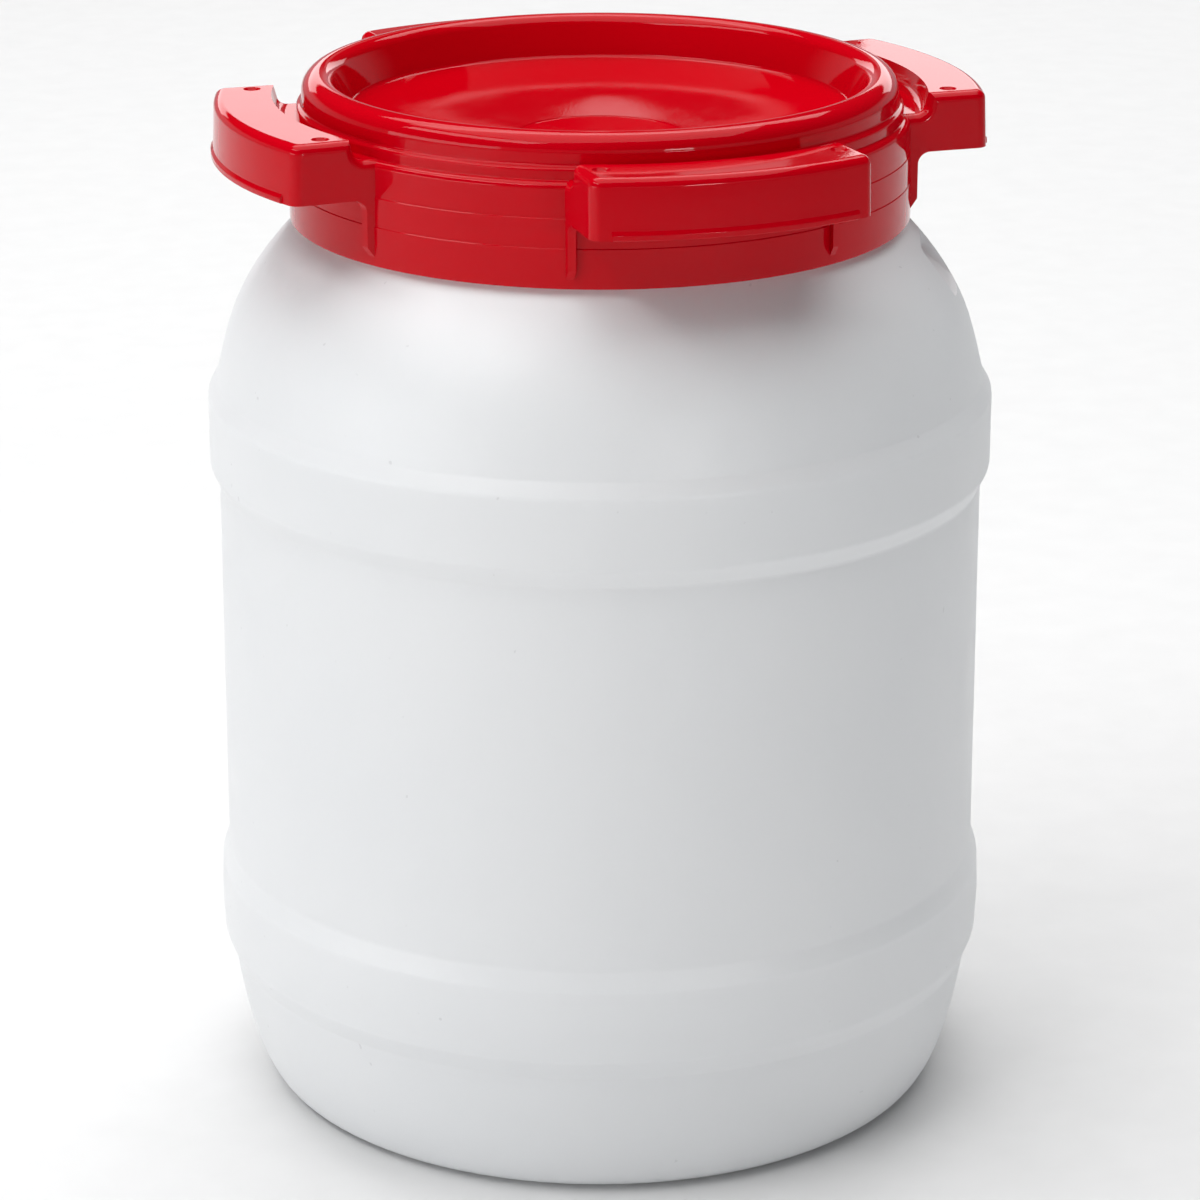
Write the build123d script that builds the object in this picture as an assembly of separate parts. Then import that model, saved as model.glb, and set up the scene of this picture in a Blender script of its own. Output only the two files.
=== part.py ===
from build123d import *
import os
from math import cos, hypot, radians, sin

# Wide-neck plastic drum with a screw lid. Millimetres.
# Origin: centre of the ring that the drum stands on. +Z runs up the axis, through the lid.

# ---- drum body ----
WALL = 2.2                  # thickness of the blown wall
STANDING_RADIUS = 81.2      # outer edge of the flat ring that the drum stands on
HEEL_RADIUS = 8.0           # rounding between the standing ring and the heel
HEEL_LEAN = 33.0            # lean of the side, in degrees, where that rounding ends
PUSH_UP_RADIUS = 62.0       # raised middle of the bottom
PUSH_UP_FLANK = 9.0         # width of the cone round it
PUSH_UP = 4.0               # how far it is raised
SIDE_RADIUS = 96.9          # straight wall
HEEL_CURVE = (4.55, 14.6)   # point of the heel's curve: distance inside the wall, height
HEEL_TOP = (0.6, 34.0)      # end of that curve, likewise
BAND_RADIUS = 98.95         # the two raised rolling bands
BAND_CROWN = 0.15           # bulge of the lower band's middle
LOWER_BAND = (35.2, 40.2, 58.9, 64.0)       # foot and top of the lower flank, then of the upper
UPPER_BAND = (161.6, 166.2, 184.0, 187.8)
SHOULDER_FOOT = (0.45, 189.0)               # points of the domed shoulder: distance inside
SHOULDER_LOW = (4.65, 204.0)                # the wall, height
SHOULDER_HIGH = (11.3, 216.0)
SHOULDER_END = (5.6, 226.6)                 # its end, measured outwards from the neck
NECK_RADIUS = 71.0
NECK_WALL = 2.2
NECK_FOOT = 229.4           # where the shoulder meets the neck
NECK_TOP = 259.2

# ---- pocket in the shoulder ----
POCKET_ANGLE = -22.0        # degrees from +X
POCKET_WIDTH = 25.0
POCKET_BACK = 80.0          # distance of its upright back wall from the axis
POCKET_FLOOR = 216.5        # height of its floor at the back wall
POCKET_LENGTH = 9.0         # from the back wall to the foot of the sloping floor
POCKET_DROP = 7.0           # how far the floor falls on the way
POCKET_REACH = 20.0         # how far its cutter runs out and up

# ---- screw thread, right-handed ----
STARTS = 2
LEAD = 18.0                 # rise in one full turn
THREAD_TURN = 205.0         # degrees that each ridge runs round
THREAD_FOOT = 4.4           # width of a ridge where it is sunk in its wall
THREAD_TIP = 2.0            # width of its crest
THREAD_SUNK = 0.8           # how deep its foot is sunk
THREAD_START = 236.5        # height at which the ridges on the neck begin
THREAD_FADE = 6             # a ridge fades out over one part in this many of its length
THREAD_END = 0.12           # share of its full depth that is left at its ends
NECK_CREST = 73.2
SKIRT_CREST = 72.1

# ---- lid ----
LID_WALL = 2.4
RIM_TOP = 264.5
RIM_OUTER = 73.9
RIM_INNER = 66.8            # top corner of the recess, before it is rounded
RIM_FOOT = 256.7            # where the crest's wall widens to a foot
FOOT_RADIUS = 75.2
DISH_RADIUS = 63.0          # edge of the dished floor of the recess
DISH_EDGE = 254.2
DISH_MIDDLE = 248.0
DISH_FLAT = 21.0            # flat disc in the middle of the floor
DISH_STEP = 0.25            # how far that disc lies below the floor round it
DISH_SLOPE = 0.22           # slope of the floor at its edge
DISH_STRAIGHT = 2.0         # width of the straight strip there
SHOULDER = 254.1            # where the crest's foot meets the top of the skirt
UNDER_LEDGE = 251.8
SKIRT_RADIUS = 77.0         # outside of the skirt at its top
SKIRT_INNER = 74.6
SKIRT_TOP = 249.5           # height at which the lid's top and its skirt meet
SKIRT_STEPS = (245.3, 238.2)    # heights at which the skirt steps outwards
SKIRT_STEP = 0.2
SKIRT_BOTTOM = 228.6
GROOVE_INNER = 68.3         # groove that takes the neck and the gasket
GROOVE_OUTER = 71.4
GROOVE_TOP = 262.0

# ---- grips of the lid ----
GRIPS = ("right", "back", "left", "front")      # anticlockwise from +X
GRIP_WALL = 2.2
LEDGE = 254.4               # flat ledge between the crest and a grip
ROOT_ROUNDING = 2.6         # between that ledge and the grip's inner side
GRIP_TOP = 259.4
GRIP_BOTTOM = 245.0
GRIP_INNER = 81.2           # inner edge of the top face
GRIP_OUTER = 95.4           # outer face at the top
GRIP_DRAFT = 0.6            # how much further out the outer face is at the bottom
GRIP_HALF_WIDTH = 34.1      # half of the width, where the ends leave the skirt
GRIP_ROOT = 70.0            # that place, along the grip's centre line
GRIP_FLARE = 0.047          # widening of each side for each millimetre outwards
GRIP_SWEEP = 60.0           # degrees that a grip's arcs run, before its ends are cut
CORNER_ROUNDING = 3.2
TOP_ROUNDING = 2.4          # along the top face's outer edge and the ends, down to the ledge
LIP_RADIUS = 96.5           # lip along the bottom of the outer face
LIP_TOP = 247.4
LIP_END = 4.5               # how far it stops short of the grip's ends
RIB_RADIUS = 79.0           # outer edge of the rib under each end of a grip
RIB_WALL = 1.8
RIB_BOTTOM = 230.4
DIMPLE_OUT = 81.0           # place of the two dimples, along the centre line
DIMPLE_SIDE = 29.5          # and to each side of it
DIMPLE_RADIUS = 2.2
DIMPLE_DEPTH = 1.2

# ---- gasket ----
GASKET_GAP = 0.35           # radial room on each side of the ring


def rounded_line(corners):
    """Line in the XZ plane through (radius, height, rounding) triples; its ends have no rounding."""
    points = [(radius, 0, height) for radius, height, _ in corners]
    return FilletPolyline(points, radius=[rounding for _, _, rounding in corners[1:-1]])


def section(corners):
    """Closed face in the XZ plane through (radius, height, rounding) triples."""
    points = [(radius, 0, height) for radius, height, _ in corners]
    outline = FilletPolyline(points, radius=[rounding for _, _, rounding in corners], close=True)
    return make_face(outline.edges())


def upright(place):
    """Point of the XZ plane at that radius and height."""
    return place[0], 0, place[1]


def joined_face(*lines):
    """Face bounded by lines that follow each other."""
    return make_face([edge for line in lines for edge in line.edges()])


def turned(face, sweep=360.0):
    """Solid of revolution about Z, with half of the sweep on each side of +X."""
    return Rot(0, 0, -sweep / 2) * revolve(face, Axis.Z, sweep)


# ---------------------------------------------------------------- drum body

def body_face(inset):
    """Half section of the body, filled to its axis, with every face moved inwards by inset."""
    lean = radians(HEEL_LEAN)
    standing = STANDING_RADIUS - inset
    heel = (standing + HEEL_RADIUS * cos(lean), HEEL_RADIUS * (1 - sin(lean)) + inset / 2)
    side = SIDE_RADIUS - inset
    band = BAND_RADIUS - inset
    neck = NECK_RADIUS - inset
    raised = PUSH_UP + inset

    def inside_wall(place):
        return side - place[0], place[1]

    heel_top, shoulder_foot = inside_wall(HEEL_TOP), inside_wall(SHOULDER_FOOT)
    shoulder_end = (neck + SHOULDER_END[0], SHOULDER_END[1])
    bottom = rounded_line([
        (0, raised, 0), (PUSH_UP_RADIUS - inset, raised, 9),
        (PUSH_UP_RADIUS + PUSH_UP_FLANK - inset, inset, 9), (standing, inset, 0),
    ])
    rounding = TangentArc((standing, 0, inset), upright(heel), tangent=(1, 0, 0))
    curve = Spline(
        upright(heel), upright(inside_wall(HEEL_CURVE)), upright(heel_top),
        tangents=[(sin(lean), 0, cos(lean)), (0.16, 0, 1)],
    )
    wall = rounded_line([
        (*heel_top, 0), (side - 0.4, LOWER_BAND[0], 2.5), (band - 0.3, LOWER_BAND[1], 3.5),
        (band + BAND_CROWN, sum(LOWER_BAND[1:3]) / 2, 40),
        (band - 0.2, LOWER_BAND[2], 3.5), (side + 0.1, LOWER_BAND[3], 3.5),
        (side - 0.25, UPPER_BAND[0], 3.5), (band, UPPER_BAND[1], 3), (band, UPPER_BAND[2], 3),
        (side - 0.15, UPPER_BAND[3], 2.5), (*shoulder_foot, 0),
    ])
    shoulder = Spline(
        upright(shoulder_foot), upright(inside_wall(SHOULDER_LOW)),
        upright(inside_wall(SHOULDER_HIGH)), upright(shoulder_end),
        tangents=[(-0.24, 0, 1), (-0.95, 0, 1)],
    )
    top = rounded_line([
        (*shoulder_end, 0), (neck + 2.6, NECK_FOOT, 1.5), (neck, NECK_FOOT + 1.2, 1.5),
        (neck, NECK_TOP + inset, 0), (0, NECK_TOP + inset, 0), (0, raised, 0),
    ])
    return joined_face(bottom, rounding, curve, wall, shoulder, top)


def pocket(grow):
    """Cutter for the pocket in the shoulder, with its walls moved outwards by grow."""
    back = POCKET_BACK - grow
    floor = POCKET_FLOOR - grow
    top, front = floor + POCKET_REACH, back + POCKET_REACH
    side_view = section([
        (back, top, 0), (back, floor + 1, 3), (back + POCKET_LENGTH, floor - POCKET_DROP, 6),
        (front, floor - POCKET_DROP - 0.5, 0), (front, top, 0),
    ])
    block = extrude(side_view, POCKET_WIDTH / 2 + grow, both=True)
    back_edges = block.edges().filter_by(Axis.Z).sort_by(Axis.X)[:2]
    return Rot(0, 0, POCKET_ANGLE) * fillet(back_edges, 2.0)


def thread_ridge(foot, crest, start_height):
    """One helical ridge between two radii, rising anticlockwise and fading out at both ends."""
    steps = 12
    sections = []
    for step in range(steps + 1):
        share = step / steps
        fade = THREAD_END + (1 - THREAD_END) * min(1.0, THREAD_FADE * min(share, 1 - share))
        tip = foot + (crest - foot) * fade
        outline = Polyline(
            (foot, 0, -THREAD_FOOT / 2), (tip, 0, -THREAD_TIP / 2), (tip, 0, THREAD_TIP / 2),
            (foot, 0, THREAD_FOOT / 2), close=True,
        )
        turn = THREAD_TURN * share
        place = Pos(0, 0, start_height + LEAD * turn / 360) * Rot(0, 0, turn)
        sections.append(place * make_face(outline.edges()))
    return loft(sections)


def thread(foot, crest, start_height):
    """All the ridges of a thread, evenly spaced round the axis."""
    ridge = thread_ridge(foot, crest, start_height)
    return [Rot(0, 0, 360 * start / STARTS) * ridge for start in range(STARTS)]


def drum_body():
    outside = turned(body_face(0)) - pocket(0)
    inside = turned(body_face(WALL)) - pocket(WALL)
    mouth = Pos(0, 0, NECK_TOP) * Cylinder(NECK_RADIUS - NECK_WALL, 20)
    shell = outside - inside - mouth
    for ridge in thread(NECK_RADIUS - THREAD_SUNK, NECK_CREST, THREAD_START):
        shell += ridge
    return shell


# ---------------------------------------------------------------- lid

def dish_rim(drop):
    """Radius and height at which the floor's straight strip starts, lowered by drop."""
    return DISH_RADIUS - DISH_STRAIGHT, DISH_EDGE - DISH_STRAIGHT * DISH_SLOPE - drop


def dish_line(drop):
    """The floor's line from that strip to the flat disc and the axis, lowered by drop."""
    middle = DISH_MIDDLE - drop
    bowl = Spline(
        upright(dish_rim(drop)), (DISH_FLAT, 0, middle),
        tangents=[(-1, 0, -DISH_SLOPE), (-1, 0, -0.08)],
    )
    low = middle - DISH_STEP
    disc = Polyline((DISH_FLAT, 0, middle), (DISH_FLAT - DISH_STEP, 0, low), (0, 0, low))
    return bowl + disc


def lid_outside():
    """Corners of the lid's outside without its grips, from the edge of the floor to the skirt's end."""
    corners = [
        (*dish_rim(0), 0), (DISH_RADIUS, DISH_EDGE, 1.5), (RIM_INNER, RIM_TOP, 3.6),
        (RIM_OUTER, RIM_TOP, 4.5), (RIM_OUTER, RIM_FOOT + 0.6, 0.8), (FOOT_RADIUS, RIM_FOOT, 0.8),
        (FOOT_RADIUS, SHOULDER, 0), (SKIRT_RADIUS, SHOULDER - 0.5, 2.0),
    ]
    radius = SKIRT_RADIUS
    for height in SKIRT_STEPS:
        corners += [(radius, height + SKIRT_STEP, 0), (radius + SKIRT_STEP, height, 0)]
        radius += SKIRT_STEP
    return corners + [(radius, SKIRT_BOTTOM, 0.5)]


def lid_inside():
    """Corners of its inside, from the skirt's end to the underside of the floor."""
    return [
        (SKIRT_INNER, SKIRT_BOTTOM, 0.5), (SKIRT_INNER, UNDER_LEDGE, 1.0),
        (GROOVE_OUTER, UNDER_LEDGE, 0.6), (GROOVE_OUTER, GROOVE_TOP, 0.3),
        (GROOVE_INNER, GROOVE_TOP, 0.3), (DISH_RADIUS + LID_WALL, DISH_EDGE - LID_WALL, 1.0),
        (DISH_RADIUS, DISH_EDGE - LID_WALL, 1.0), (*dish_rim(LID_WALL), 0),
    ]


def lid_face():
    """Half section of the lid without its grips, as a turned shape."""
    floor = DISH_MIDDLE - DISH_STEP
    axis = Line((0, 0, floor), (0, 0, floor - LID_WALL))
    return joined_face(rounded_line(lid_outside() + lid_inside()), dish_line(LID_WALL), axis, dish_line(0))


def lid_core():
    """Solid inside the outer faces of the lid's turned part, which the grips stand against."""
    outline = section(lid_outside()[3:] + [(0, SKIRT_BOTTOM, 0), (0, RIM_TOP, 0)])
    return turned(outline)


def half_width(out):
    """Half of a grip's width at that distance along its centre line."""
    return GRIP_HALF_WIDTH + GRIP_FLARE * (out - GRIP_ROOT)


def grip_slab(wall):
    """Block between the two end planes of a grip, moved inwards by wall; its centre line is +X."""
    near, far = 55, 110
    plan = Polyline(
        (near, wall - half_width(near)), (far, wall - half_width(far)),
        (far, half_width(far) - wall), (near, half_width(near) - wall), close=True,
    )
    return Pos(0, 0, 220) * extrude(make_face(plan.edges()), 50)


def upper_edges(block):
    """Edges of a grip's top face and of its ends down to the ledge, without the top's inner edge."""

    def rounded_off(edge):
        points = [edge.position_at(share) for share in (0, 0.5, 1)]
        if all(point.Z > GRIP_TOP - 0.05 for point in points):
            return any(hypot(point.X, point.Y) > GRIP_INNER + 0.05 for point in points)
        on_an_end = all(abs(abs(point.Y) - half_width(point.X)) < 0.02 for point in points)
        return on_an_end and all(point.Z > LEDGE - 0.05 for point in points)

    return [edge for edge in block.edges() if rounded_off(edge)]


def outermost_uprights(block):
    """The two upright edges where the outer face of a grip meets its ends."""
    leaning = block.edges().filter_by(lambda edge: edge.bounding_box().size.Z > 2)
    return leaning.sort_by(lambda edge: hypot(edge.center().X, edge.center().Y))[-2:]


def grip_block():
    """Outer shape of a grip, before it is hollowed."""
    root = SKIRT_RADIUS - 2.1
    profile = section([
        (root, GRIP_BOTTOM, 0), (root, LEDGE, 0), (GRIP_INNER - 1.3, LEDGE, ROOT_ROUNDING),
        (GRIP_INNER, GRIP_TOP, 0), (GRIP_OUTER, GRIP_TOP, 0),
        (GRIP_OUTER + GRIP_DRAFT, GRIP_BOTTOM, 0),
    ])
    block = turned(profile, GRIP_SWEEP) & grip_slab(0)
    block = fillet(outermost_uprights(block), CORNER_ROUNDING)
    return fillet(upper_edges(block), TOP_ROUNDING)


def grip_hollow():
    under = GRIP_TOP - GRIP_WALL
    profile = section([
        (SKIRT_RADIUS - 0.5, GRIP_BOTTOM - 5, 0), (SKIRT_RADIUS - 0.5, LEDGE - GRIP_WALL, 0),
        (GRIP_INNER - 0.8, LEDGE - GRIP_WALL, 0.8), (GRIP_INNER + GRIP_WALL - 0.2, under, 0),
        (GRIP_OUTER - GRIP_WALL, under, 1.2),
        (GRIP_OUTER + GRIP_DRAFT - GRIP_WALL, GRIP_BOTTOM - 5, 0),
    ])
    return turned(profile, GRIP_SWEEP) & grip_slab(GRIP_WALL)


def grip_lip():
    """Small lip along the bottom of the outer face."""
    face = GRIP_OUTER + GRIP_DRAFT
    sunk = face - GRIP_WALL / 2
    profile = section([
        (sunk, GRIP_BOTTOM, 0), (sunk, LIP_TOP, 0), (face - 0.2, LIP_TOP, 0),
        (LIP_RADIUS, LIP_TOP - 1, 0.6), (LIP_RADIUS, GRIP_BOTTOM, 0.3),
    ])
    return turned(profile, GRIP_SWEEP) & grip_slab(LIP_END)


def grip_ribs():
    """The ribs on the skirt under both ends of a grip."""
    sunk, head = SKIRT_RADIUS - 1.2, RIB_RADIUS + 7
    profile = section([
        (sunk, LEDGE - 3, 0), (head, LEDGE - 3, 0), (head, GRIP_BOTTOM, 0),
        (RIB_RADIUS, GRIP_BOTTOM, 3.0), (RIB_RADIUS, RIB_BOTTOM + 3, 0.8),
        (SKIRT_RADIUS, RIB_BOTTOM, 0), (sunk, RIB_BOTTOM, 0),
    ])
    return turned(profile, GRIP_SWEEP) & (grip_slab(0) - grip_slab(RIB_WALL))


def grip_dimples():
    """Cutters for the two round dimples in the top face."""
    ball = (DIMPLE_RADIUS ** 2 + DIMPLE_DEPTH ** 2) / (2 * DIMPLE_DEPTH)
    height = GRIP_TOP + ball - DIMPLE_DEPTH
    cutter = Rot(90, 0, 0) * Sphere(ball)
    return [Pos(DIMPLE_OUT, side * DIMPLE_SIDE, height) * cutter for side in (-1, 1)]


def grip():
    shape = grip_block() + grip_lip() - grip_hollow() + grip_ribs()
    for dimple in grip_dimples():
        shape -= dimple
    return shape


def lid_parts():
    """The top, the skirt and the grips of the lid, which is one moulding, as solids that meet."""
    cap = turned(lid_face())
    tall = SKIRT_TOP - SKIRT_BOTTOM + 1
    ring = Cylinder(SKIRT_RADIUS + 1, tall) - Cylinder(SKIRT_INNER - 1, tall)
    below = Pos(0, 0, SKIRT_TOP - tall / 2) * ring
    skirt = cap & below
    half_pitch = LEAD / STARTS / 2
    for ridge in thread(SKIRT_INNER + THREAD_SUNK, SKIRT_CREST, THREAD_START - half_pitch):
        skirt += ridge
    parts = {"lid_top": cap - below, "lid_skirt": skirt}
    one_grip = grip() - lid_core()
    for number, name in enumerate(GRIPS):
        parts["grip_" + name] = Rot(0, 0, 360 * number / len(GRIPS)) * one_grip
    return parts


# ---------------------------------------------------------------- gasket

def gasket():
    """Flat ring on the neck's top, which fills the lid's groove."""
    thickness = GROOVE_TOP - NECK_TOP
    outside = Cylinder(GROOVE_OUTER - GASKET_GAP, thickness)
    hole = Cylinder(GROOVE_INNER + GASKET_GAP, thickness)
    return Pos(0, 0, NECK_TOP + thickness / 2) * (outside - hole)


os.makedirs("parts", exist_ok=True)
nodes = {"drum_body": drum_body(), **lid_parts(), "gasket": gasket()}
for name, shape in nodes.items():
    export_step(shape, "parts/" + name + ".step")
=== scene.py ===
from math import acos, cos, degrees, pi, radians, sin, tan

import bmesh
import bpy
import numpy as np
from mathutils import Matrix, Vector


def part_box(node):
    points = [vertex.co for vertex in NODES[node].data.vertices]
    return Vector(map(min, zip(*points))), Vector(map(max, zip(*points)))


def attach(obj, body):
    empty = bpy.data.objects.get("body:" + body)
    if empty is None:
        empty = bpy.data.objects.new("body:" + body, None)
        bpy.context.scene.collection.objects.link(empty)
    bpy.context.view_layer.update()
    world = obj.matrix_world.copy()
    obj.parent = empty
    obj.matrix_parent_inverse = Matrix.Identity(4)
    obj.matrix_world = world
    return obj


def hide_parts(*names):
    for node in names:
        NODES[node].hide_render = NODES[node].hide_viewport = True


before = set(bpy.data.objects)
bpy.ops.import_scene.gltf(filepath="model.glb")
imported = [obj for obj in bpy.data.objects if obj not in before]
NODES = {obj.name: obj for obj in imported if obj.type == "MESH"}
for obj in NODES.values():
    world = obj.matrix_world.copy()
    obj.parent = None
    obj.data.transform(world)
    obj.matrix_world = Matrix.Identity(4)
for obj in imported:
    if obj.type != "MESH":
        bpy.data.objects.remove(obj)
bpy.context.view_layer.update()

# ---------------------------------------------------------------- places taken from the frame
MM = 0.001
TOP_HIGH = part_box("lid_top")[1]
SKIRT_LOW, SKIRT_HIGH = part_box("lid_skirt")
GRIP_NODES = ["grip_right", "grip_back", "grip_left", "grip_front"]
RIM_TOP = TOP_HIGH.z / MM               # top of the lid's rounded rim
SKIRT_BOTTOM = SKIRT_LOW.z / MM
SKIRT_EDGE = SKIRT_HIGH.x / MM          # radius at the skirt's lower part

# ---------------------------------------------------------------- camera
CAMERA_AZIMUTH = radians(-20.2)     # from straight in front (-Y), positive towards +X
CAMERA_DISTANCE = 1.0306            # from the axis, level
CAMERA_HEIGHT = 0.4844
CAMERA_TILT = radians(19.21)        # down from level
FOCAL_SHARE = 3.52417               # focal length over the width of the picture
SENSOR_WIDTH = 36                   # mm
NEAREST_SEEN = 0.05


# ---------------------------------------------------------------- mesh helpers
FINE_STEP, COARSE_STEP = 9.0, 22.0      # degrees between the points of a rounding
SMALL_ROUNDING = 1.2                    # roundings below this, in mm, take the coarse step
NEARLY_STRAIGHT = 0.01                  # radians; a flatter corner isn't rounded
NEXT_TO_NOTHING = 1e-6                  # mm; a shorter step or radius counts as none
WELD_NODE = 2e-6                        # m; how near the corners of a CAD mesh's faces are joined
WELD_PIECE = 1e-6
SHARP_EDGE = 32.0                       # degrees; a sharper edge keeps its crease
NORMAL_WEIGHT = 60


def rounded(corners):
    """Points (radius, height) of a line through (radius, height, rounding) corners, arcs sampled."""
    points = [np.array(c[:2], float) for c in corners]
    line = [points[0]]
    for i in range(1, len(corners) - 1):
        here, rounding = points[i], corners[i][2]
        before, after = points[i - 1] - here, points[i + 1] - here
        before, after = before / np.linalg.norm(before), after / np.linalg.norm(after)
        angle = acos(max(-1.0, min(1.0, float(before @ after))))
        if rounding <= 0 or angle > pi - NEARLY_STRAIGHT:
            line.append(here)
            continue
        reach = rounding / tan(angle / 2)
        middle = before + after
        centre = here + middle / np.linalg.norm(middle) * rounding / sin(angle / 2)
        start, end = here + before * reach - centre, here + after * reach - centre
        turn = pi - angle
        step = COARSE_STEP if rounding < SMALL_ROUNDING else FINE_STEP
        count = max(2, int(round(degrees(turn) / step)))
        side = 1.0 if start[0] * end[1] - start[1] * end[0] > 0 else -1.0
        for k in range(count + 1):
            a = side * turn * k / count
            c, s = cos(a), sin(a)
            turned = [c * start[0] - s * start[1], s * start[0] + c * start[1]]
            line.append(centre + np.array(turned))
    line.append(points[-1])
    return line


def eased(start, end, leaving, arriving, count):
    """Points along a smooth curve from start to end that leaves and arrives in those directions."""
    start, end = np.array(start, float), np.array(end, float)
    leaving = np.array(leaving) / np.linalg.norm(leaving)
    arriving = np.array(arriving) / np.linalg.norm(arriving)
    span = np.linalg.norm(end - start)
    line = []
    for k in range(count + 1):
        t = k / count
        line.append(
            (2 * t**3 - 3 * t**2 + 1) * start + (t**3 - 2 * t**2 + t) * span * leaving
            + (3 * t**2 - 2 * t**3) * end + (t**3 - t**2) * span * arriving
        )
    return line


def filled_in(line, longest):
    """The same line with extra points, so that no step is longer than that."""
    out = [line[0]]
    for a, b in zip(line, line[1:]):
        gap = np.linalg.norm(b - a)
        if gap < NEXT_TO_NOTHING:
            continue
        steps = max(1, int(np.ceil(gap / longest)))
        out += [a + (b - a) * k / steps for k in range(1, steps + 1)]
    return out


def lathe(mesh, line, columns):
    """Adds the surface that a line of (radius, height) points sweeps round Z.

    Points on the axis close it.
    """
    rings = []
    for radius, height in line:
        if radius < NEXT_TO_NOTHING:
            rings.append([mesh.verts.new((0, 0, height * MM))])
        else:
            rings.append([
                mesh.verts.new((radius * cos(2 * pi * k / columns) * MM,
                                radius * sin(2 * pi * k / columns) * MM, height * MM))
                for k in range(columns)
            ])
    for low, high in zip(rings, rings[1:]):
        for k in range(columns):
            n = (k + 1) % columns
            corners = [
                low[k % len(low)], low[n % len(low)], high[n % len(high)], high[k % len(high)],
            ]
            unique = [v for i, v in enumerate(corners) if v not in corners[:i]]
            if len(unique) > 2:
                mesh.faces.new(unique)


def add_nodes(mesh, names):
    """Adds copies of CAD nodes, welded along the edges of their faces."""
    for name in names:
        part = bmesh.new()
        part.from_mesh(NODES[name].data)
        bmesh.ops.remove_doubles(part, verts=part.verts, dist=WELD_NODE)
        data = bpy.data.meshes.new("welded_" + name)
        part.to_mesh(data)
        part.free()
        mesh.from_mesh(data)
        bpy.data.meshes.remove(data)


def make_object(name, mesh):
    """Object from a bmesh, shaded smooth but for its sharp edges."""
    bmesh.ops.remove_doubles(mesh, verts=mesh.verts, dist=WELD_PIECE)
    bmesh.ops.recalc_face_normals(mesh, faces=mesh.faces)
    for face in mesh.faces:
        face.smooth = True
    for edge in mesh.edges:
        open_edge = len(edge.link_faces) != 2
        edge.smooth = open_edge or edge.calc_face_angle(0) < radians(SHARP_EDGE)
    data = bpy.data.meshes.new(name)
    mesh.to_mesh(data)
    mesh.free()
    thing = bpy.data.objects.new(name, data)
    bpy.context.scene.collection.objects.link(thing)
    weighted = thing.modifiers.new("even_normals", "WEIGHTED_NORMAL")
    weighted.keep_sharp = True
    weighted.weight = NORMAL_WEIGHT
    return thing


def place(thing, body, slot, material, *nodes):
    """Gives a piece its material and body, and hides the CAD nodes it stands for."""
    thing.data.materials.clear()
    thing.data.materials.append(material)
    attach(thing, body)
    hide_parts(*nodes)


# ---------------------------------------------------------------- materials
class Nodes:
    """Short way to build a material's node tree."""

    def __init__(self, name):
        self.material = bpy.data.materials.new(name)
        self.material.use_nodes = True
        self.tree = self.material.node_tree
        self.tree.nodes.clear()
        self.output = self.tree.nodes.new("ShaderNodeOutputMaterial")
        self.place = self.add("ShaderNodeTexCoord").outputs["Object"]

    def add(self, kind, inputs=None, **settings):
        """New node; a socket among the inputs is linked, anything else is set."""
        node = self.tree.nodes.new(kind)
        for key, value in settings.items():
            setattr(node, key, value)
        for key, value in (inputs or {}).items():
            if isinstance(value, bpy.types.NodeSocket):
                self.tree.links.new(value, node.inputs[key])
            else:
                node.inputs[key].default_value = value
        return node

    def noise(self, scale, detail, roughness, stretch=None, seed=0.0):
        """Noise in the object's own frame; the seed moves it to another part of the pattern."""
        vector = self.place
        if stretch or seed:
            vector = self.add("ShaderNodeMapping", {
                "Vector": vector,
                "Location": (seed, seed * 0.7, -seed),
                "Scale": stretch or (1, 1, 1),
            }).outputs[0]
        return self.add("ShaderNodeTexNoise", {
            "Vector": vector, "Scale": scale, "Detail": detail, "Roughness": roughness,
        }).outputs["Fac"]

    def ranged(self, value, low, high, to_low=0.0, to_high=1.0):
        """The value from low to high spread over to_low to to_high, and held outside that."""
        return self.add("ShaderNodeMapRange", {
            "Value": value, "From Min": low, "From Max": high, "To Min": to_low, "To Max": to_high,
        }).outputs["Result"]

    def mixed(self, share, first, second):
        """Colour between two; a mix node's colour sockets share their names, so they go by index."""
        node = self.add("ShaderNodeMix", data_type="RGBA", blend_type="MIX")
        for index, value in ((0, share), (6, first), (7, second)):
            if isinstance(value, bpy.types.NodeSocket):
                self.tree.links.new(value, node.inputs[index])
            else:
                node.inputs[index].default_value = value
        return node.outputs[2]

    def bump(self, height, strength, distance, normal=None):
        inputs = {"Height": height, "Strength": strength, "Distance": distance}
        if normal is not None:
            inputs["Normal"] = normal
        return self.add("ShaderNodeBump", inputs).outputs["Normal"]

    def finish(self, **inputs):
        """Adds the surface shader with those inputs and gives the material."""
        shader = self.add("ShaderNodeBsdfPrincipled", inputs)
        self.tree.links.new(shader.outputs[0], self.output.inputs["Surface"])
        return self.material


def rgba(red, green, blue):
    return (red, green, blue, 1.0)


RED_DEEP, RED_LIGHT = rgba(0.52, 0.0, 0.005), rgba(0.555, 0.0, 0.007)
RED_SPECK = rgba(0.38, 0.0, 0.003)
WHITE_COOL, WHITE_PALE = rgba(0.80, 0.815, 0.83), rgba(0.84, 0.85, 0.86)
GREY_SPECK = rgba(0.34, 0.34, 0.35)
RUBBER_DARK, RUBBER_PALE = rgba(0.016, 0.016, 0.018), rgba(0.035, 0.035, 0.038)
FLOOR_DARK, FLOOR_PALE = rgba(0.80, 0.80, 0.80), rgba(0.82, 0.82, 0.82)


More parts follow.
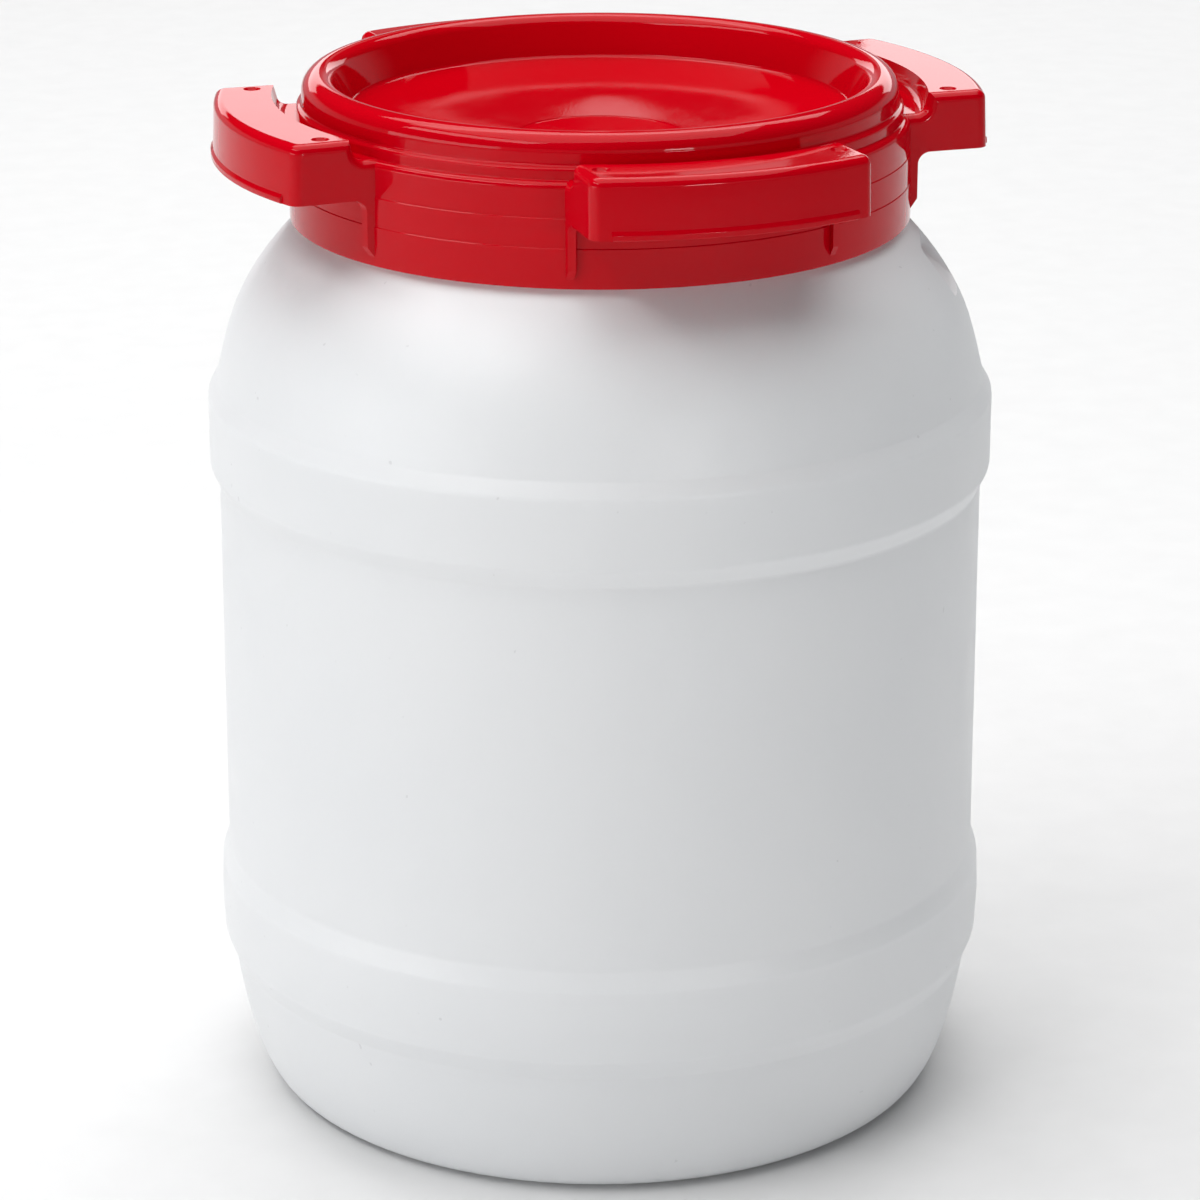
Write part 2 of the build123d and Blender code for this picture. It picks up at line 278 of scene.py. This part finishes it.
def red_plastic():
    """Glossy injection-moulded plastic: slight pigment swirl, faint flow ripple, fine scuffs."""
    n = Nodes("red_gloss_plastic")
    swirl = n.noise(scale=9.0, detail=3.0, roughness=0.5, seed=3.1)
    speckle = n.noise(scale=900.0, detail=2.0, roughness=0.6, seed=1.7)
    colour = n.mixed(n.ranged(swirl, 0.35, 0.65), RED_DEEP, RED_LIGHT)
    colour = n.mixed(n.ranged(speckle, 0.62, 0.75, to_high=0.10), colour, RED_SPECK)
    ripple = n.noise(scale=28.0, detail=2.0, roughness=0.5, seed=7.0)
    grain = n.noise(scale=1500.0, detail=2.0, roughness=0.5)
    normal = n.bump(ripple, strength=0.04, distance=0.0012)
    normal = n.bump(grain, strength=0.05, distance=0.0001, normal=normal)
    scuffs = n.noise(scale=160.0, detail=4.0, roughness=0.65, stretch=(1, 1, 2.5), seed=5.0)
    roughness = n.ranged(scuffs, 0.42, 0.75, to_low=0.035, to_high=0.085)
    return n.finish(**{
        "Base Color": colour, "Roughness": roughness, "Normal": normal, "IOR": 1.27,
    })


def white_plastic():
    """Blow-moulded polyethylene: milky, satin, with a soft orange-peel and faint handling marks."""
    n = Nodes("white_satin_plastic")
    cloud = n.noise(scale=7.0, detail=3.0, roughness=0.5, seed=2.2)
    colour = n.mixed(n.ranged(cloud, 0.35, 0.65), WHITE_COOL, WHITE_PALE)
    specks = n.noise(scale=420.0, detail=1.0, roughness=0.5, seed=11.0)
    colour = n.mixed(n.ranged(specks, 0.79, 0.83, to_high=0.22), colour, GREY_SPECK)
    peel = n.noise(scale=330.0, detail=3.0, roughness=0.55, seed=4.0)
    waves = n.noise(scale=24.0, detail=2.0, roughness=0.5, stretch=(1, 1, 0.35), seed=9.0)
    normal = n.bump(waves, strength=0.16, distance=0.0015)
    normal = n.bump(peel, strength=0.10, distance=0.0003, normal=normal)
    rub = n.noise(scale=60.0, detail=5.0, roughness=0.65, seed=6.0)
    roughness = n.ranged(rub, 0.35, 0.7, to_low=0.36, to_high=0.50)
    return n.finish(**{
        "Base Color": colour, "Roughness": roughness, "Normal": normal, "IOR": 1.54,
        "Subsurface Weight": 0.25, "Subsurface Radius": (0.004, 0.004, 0.004),
        "Subsurface Scale": 1.0,
    })


def black_rubber():
    """Matt sealing ring with a fine grain."""
    n = Nodes("black_rubber")
    grain = n.noise(scale=700.0, detail=3.0, roughness=0.6)
    colour = n.mixed(n.ranged(grain, 0.3, 0.7), RUBBER_DARK, RUBBER_PALE)
    normal = n.bump(grain, strength=0.35, distance=0.0003)
    roughness = n.ranged(grain, 0.3, 0.7, to_low=0.55, to_high=0.8)
    return n.finish(**{"Base Color": colour, "Roughness": roughness, "Normal": normal})


def pale_floor():
    """Matt studio floor, nearly white, with a faint grain."""
    n = Nodes("pale_floor")
    grain = n.noise(scale=60.0, detail=3.0, roughness=0.5)
    colour = n.mixed(n.ranged(grain, 0.3, 0.7), FLOOR_DARK, FLOOR_PALE)
    return n.finish(**{"Base Color": colour, "Roughness": 0.9, "Specular IOR Level": 0.1})


# ---------------------------------------------------------------- the drum
def build_drum(material):
    """The white body: the CAD's own mesh, welded and shaded smooth."""
    mesh = bmesh.new()
    add_nodes(mesh, ["drum_body"])
    drum = make_object("drum_shell", mesh)
    place(drum, "drum", "body_plastic", material, "drum_body")


# ---------------------------------------------------------------- the lid
# Radii and heights in mm. Inside to outside, the turned part has the recess's floor, the rounded rim,
# a ledge below it, and a skirt in three steps; underneath, a groove under the rim takes the neck.
LID_COLUMNS = 360
LID_WALL = 2.4
LONGEST_STEP = 3.0                  # along the section
DISH_FLAT, DISH_MIDDLE, DISH_SAG = 20.75, 247.75, 0.3   # disc in the middle of the recess's floor
DISC_RINGS = 6
DISH_STEP = 0.25                    # small step up round that disc
DISH_RIM = (61.0, 253.76)           # where the floor starts to turn up into the rim
DISH_LEAVES, DISH_ARRIVES = (1, 0.08), (1, 0.22)    # the floor's directions at its disc and its rim
DISH_STEPS = 24
RIM_FOOT = (63, 254.2)
RIM_INNER, RIM_OUTER = 66.8, 73.9
RIM_LOW = 257.3                     # the rim's outer face ends here
LEDGE_EDGE, LEDGE_TOP, LEDGE_LOW = 75.2, 256.7, 254.1
SKIRT_TOP, SKIRT_TOP_EDGE = 253.6, 77
BEAD_TOP, BEAD_EDGE = 245.3, 77.2   # the skirt's middle step
SKIRT_STEP_TOP = 238.2
BEVEL = 0.2                         # height of the slopes between the skirt's steps
SKIRT_BORE = 74.6
UNDERSIDE = 251.8                   # of the lid's top, inside the skirt
GROOVE_OUTER, GROOVE_INNER, GROOVE_TOP, GROOVE_LIP = 71.4, 68.3, 262, 65.4
THREAD_STARTS, THREAD_TURN, THREAD_LEAD = 2, 205.0, 18.0
THREAD_LOW = 232.0                  # height at which the ridges inside the skirt begin
THREAD_WALL, THREAD_CREST = 75.0, 72.1
THREAD_FOOT, THREAD_TIP = 4.0, 2.0
THREAD_STEPS = 72
THREAD_END, THREAD_FADE = 0.12, 6   # height left at a ridge's ends; 1 over the share that fades


def dish_line():
    """The recess's floor, from the axis to its rim."""
    shares = [k / DISC_RINGS for k in range(DISC_RINGS + 1)]
    disc = [
        np.array([DISH_FLAT * share, DISH_MIDDLE - DISH_SAG * (1 - share ** 2)]) for share in shares
    ]
    edge = (DISH_FLAT + DISH_STEP, DISH_MIDDLE + DISH_STEP)
    return disc + eased(edge, DISH_RIM, DISH_LEAVES, DISH_ARRIVES, DISH_STEPS)


def lid_line():
    """Section of the lid's turned part: from the axis over the top, and back to the axis underneath.

    Each corner is a radius, a height and the rounding there.
    """
    rim = [
        (*DISH_RIM, 0), (*RIM_FOOT, 1.5), (RIM_INNER, RIM_TOP, 3.6), (RIM_OUTER, RIM_TOP, 4.5),
        (RIM_OUTER, RIM_LOW, 0.8), (LEDGE_EDGE, LEDGE_TOP, 0.8), (LEDGE_EDGE, LEDGE_LOW, 0.3),
        (SKIRT_TOP_EDGE, SKIRT_TOP, 1.7),
    ]
    skirt = [
        (SKIRT_TOP_EDGE, BEAD_TOP + BEVEL, 0.1), (BEAD_EDGE, BEAD_TOP, 0.1),
        (BEAD_EDGE, SKIRT_STEP_TOP + BEVEL, 0.1), (SKIRT_EDGE, SKIRT_STEP_TOP, 0.1),
        (SKIRT_EDGE, SKIRT_BOTTOM, 0.5), (SKIRT_BORE, SKIRT_BOTTOM, 0.5),
        (SKIRT_BORE, UNDERSIDE, 1.0),
    ]
    groove = [
        (GROOVE_OUTER, UNDERSIDE, 0.6), (GROOVE_OUTER, GROOVE_TOP, 0.3),
        (GROOVE_INNER, GROOVE_TOP, 0.3), (GROOVE_LIP, UNDERSIDE, 1.0),
        (RIM_FOOT[0], UNDERSIDE, 1.0), (DISH_RIM[0], DISH_RIM[1] - LID_WALL, 0),
    ]
    floor = dish_line()
    under = [point - np.array([0, LID_WALL]) for point in reversed(floor)]
    outside = rounded(rim + skirt + groove)
    return filled_in(floor + outside[1:-1] + under, LONGEST_STEP)


def add_thread(mesh, first_turn):
    """One closed ridge of the screw thread inside the skirt, fading out at both ends."""
    rings = []
    for step in range(THREAD_STEPS + 1):
        share = step / THREAD_STEPS
        fade = THREAD_END + (1 - THREAD_END) * min(1.0, THREAD_FADE * min(share, 1 - share))
        crest = THREAD_WALL + (THREAD_CREST - THREAD_WALL) * fade
        turn = radians(first_turn + THREAD_TURN * share)
        middle = THREAD_LOW + THREAD_LEAD * THREAD_TURN * share / 360
        outline = [
            (THREAD_WALL, -THREAD_FOOT / 2), (crest, -THREAD_TIP / 2),
            (crest, THREAD_TIP / 2), (THREAD_WALL, THREAD_FOOT / 2),
        ]
        rings.append([
            mesh.verts.new((
                radius * cos(turn) * MM, radius * sin(turn) * MM, (middle + height) * MM,
            ))
            for radius, height in outline
        ])
    for near, far in zip(rings, rings[1:]):
        for k in range(len(near)):
            n = (k + 1) % len(near)
            mesh.faces.new((near[k], near[n], far[n], far[k]))
    mesh.faces.new(rings[0])
    mesh.faces.new(rings[-1])


def build_lid(material):
    """The red lid: its turned part, the thread inside the skirt, and the CAD's four grips."""
    mesh = bmesh.new()
    lathe(mesh, lid_line(), LID_COLUMNS)
    for start in range(THREAD_STARTS):
        add_thread(mesh, 360 * start / THREAD_STARTS)
    add_nodes(mesh, GRIP_NODES)
    lid = make_object("lid_moulding", mesh)
    place(lid, "lid", "lid_plastic", material, "lid_top", "lid_skirt", *GRIP_NODES)


# ---------------------------------------------------------------- the gasket
GASKET_COLUMNS = 256
GASKET_BORE = 68.65                 # radius, mm
GASKET_EDGE = 0.5                   # rounding
GASKET_SEAM = GASKET_BORE + 1       # radius at which the section's line starts and ends


def build_gasket(material):
    """Flat sealing ring that lies on the neck."""
    low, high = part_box("gasket")
    outer = high.x / MM
    bottom, top = low.z / MM, high.z / MM
    section = rounded([
        (GASKET_SEAM, bottom, 0), (outer, bottom, GASKET_EDGE), (outer, top, GASKET_EDGE),
        (GASKET_BORE, top, GASKET_EDGE), (GASKET_BORE, bottom, GASKET_EDGE),
        (GASKET_SEAM, bottom, 0),
    ])
    mesh = bmesh.new()
    lathe(mesh, section, GASKET_COLUMNS)
    place(make_object("gasket_ring", mesh), "seal", "gasket_rubber", material, "gasket")


# ---------------------------------------------------------------- studio
FLOOR_HALF = 4.0
DRUM_MIDDLE = (0, 0, 0.14)          # most lights face this point
FAR_FLOOR = 1.5                     # from the axis to the middle of the floor seen behind the drum
HORIZON_AT, DARK_FROM = 0.15, 0.235     # heights of the world's two shades, as shares
HORIZON_GREY, ROOM_DARK = rgba(0.38, 0.39, 0.41), rgba(0.015, 0.015, 0.016)


def make_camera():
    """Camera at the photo's viewing angle."""
    data = bpy.data.cameras.new("camera")
    data.sensor_width = SENSOR_WIDTH
    data.lens = SENSOR_WIDTH * FOCAL_SHARE
    data.clip_start = NEAREST_SEEN
    camera = bpy.data.objects.new("camera", data)
    bpy.context.scene.collection.objects.link(camera)
    camera.location = (
        sin(CAMERA_AZIMUTH) * CAMERA_DISTANCE,
        -cos(CAMERA_AZIMUTH) * CAMERA_DISTANCE,
        CAMERA_HEIGHT,
    )
    camera.rotation_euler = (pi / 2 - CAMERA_TILT, 0, CAMERA_AZIMUTH)
    bpy.context.scene.camera = camera


def direction(azimuth, elevation):
    """Unit vector; azimuth in degrees from straight behind the drum, positive to the right."""
    turn = radians(azimuth) - CAMERA_AZIMUTH
    level = cos(radians(elevation))
    return Vector((sin(turn) * level, cos(turn) * level, sin(radians(elevation))))


def softbox(name, azimuth, elevation, distance, width, height, power, aim, shape="RECTANGLE"):
    """Area light that faces the point it's aimed at, from that direction and distance."""
    data = bpy.data.lights.new(name, "AREA")
    data.shape = shape
    data.size, data.size_y = width, height
    data.energy = power
    lamp = bpy.data.objects.new(name, data)
    bpy.context.scene.collection.objects.link(lamp)
    aim = Vector(aim)
    lamp.location = aim + direction(azimuth, elevation) * distance
    lamp.rotation_euler = (aim - lamp.location).to_track_quat("-Z", "Y").to_euler()


def make_floor(material):
    mesh = bmesh.new()
    bmesh.ops.create_grid(mesh, x_segments=4, y_segments=4, size=FLOOR_HALF)
    data = bpy.data.meshes.new("floor")
    mesh.to_mesh(data)
    mesh.free()
    floor = bpy.data.objects.new("floor", data)
    bpy.context.scene.collection.objects.link(floor)
    floor.data.materials.append(material)


def make_world():
    """Grey near the horizon and below, nearly black above, so that only the lights show as glints."""
    world = bpy.data.worlds.new("studio")
    bpy.context.scene.world = world
    world.use_nodes = True
    tree = world.node_tree
    tree.nodes.clear()
    heading = tree.nodes.new("ShaderNodeTexCoord")
    split = tree.nodes.new("ShaderNodeSeparateXYZ")
    ramp = tree.nodes.new("ShaderNodeValToRGB")
    shade = tree.nodes.new("ShaderNodeBackground")
    output = tree.nodes.new("ShaderNodeOutputWorld")
    tree.links.new(heading.outputs["Generated"], split.inputs[0])
    tree.links.new(split.outputs["Z"], ramp.inputs[0])
    tree.links.new(ramp.outputs[0], shade.inputs["Color"])
    tree.links.new(shade.outputs[0], output.inputs[0])
    stops = ramp.color_ramp.elements
    stops[0].position, stops[0].color = HORIZON_AT, HORIZON_GREY
    stops[1].position, stops[1].color = DARK_FROM, ROOM_DARK
    shade.inputs["Strength"].default_value = 1.0


def make_lights():
    """Soft light from the left and above; narrow lights behind give the lid's glints."""
    behind = direction(0, 0) * FAR_FLOOR
    # name, azimuth, elevation, distance, width, height, power, aim
    softbox("key", -119, 8, 1.6, 1.4, 0.36, 6.0, DRUM_MIDDLE)
    softbox("key_bar", -119, 50, 1.6, 1.4, 0.32, 8.2, DRUM_MIDDLE)
    softbox("fill", 150, 12, 1.7, 1.6, 0.4, 0.3, DRUM_MIDDLE)
    softbox("overhead", 0, 90, 1.9, 2.2, 2.2, 34, DRUM_MIDDLE)
    softbox("far_floor", 0, 90, 2.3, 3.0, 1.2, 36, behind)
    softbox("back_left", -18.5, 14.6, 2.2, 1.0, 0.36, 2.1, DRUM_MIDDLE)
    softbox("back_right", 18.5, 14.6, 2.2, 1.0, 0.36, 2.4, DRUM_MIDDLE)
    softbox("front", 151, 10, 1.6, 0.3, 0.14, 2.4, DRUM_MIDDLE)
    softbox("strip", 2.8, 23, 2.2, 0.085, 0.56, 0.055, DRUM_MIDDLE)
    softbox("disc", -0.1, 23, 2.2, 0.036, 0.44, 0.034, DRUM_MIDDLE, shape="ELLIPSE")


bpy.context.scene.view_settings.view_transform = "Standard"
make_world()
make_floor(pale_floor())
make_lights()
make_camera()
build_drum(white_plastic())
build_lid(red_plastic())
build_gasket(black_rubber())
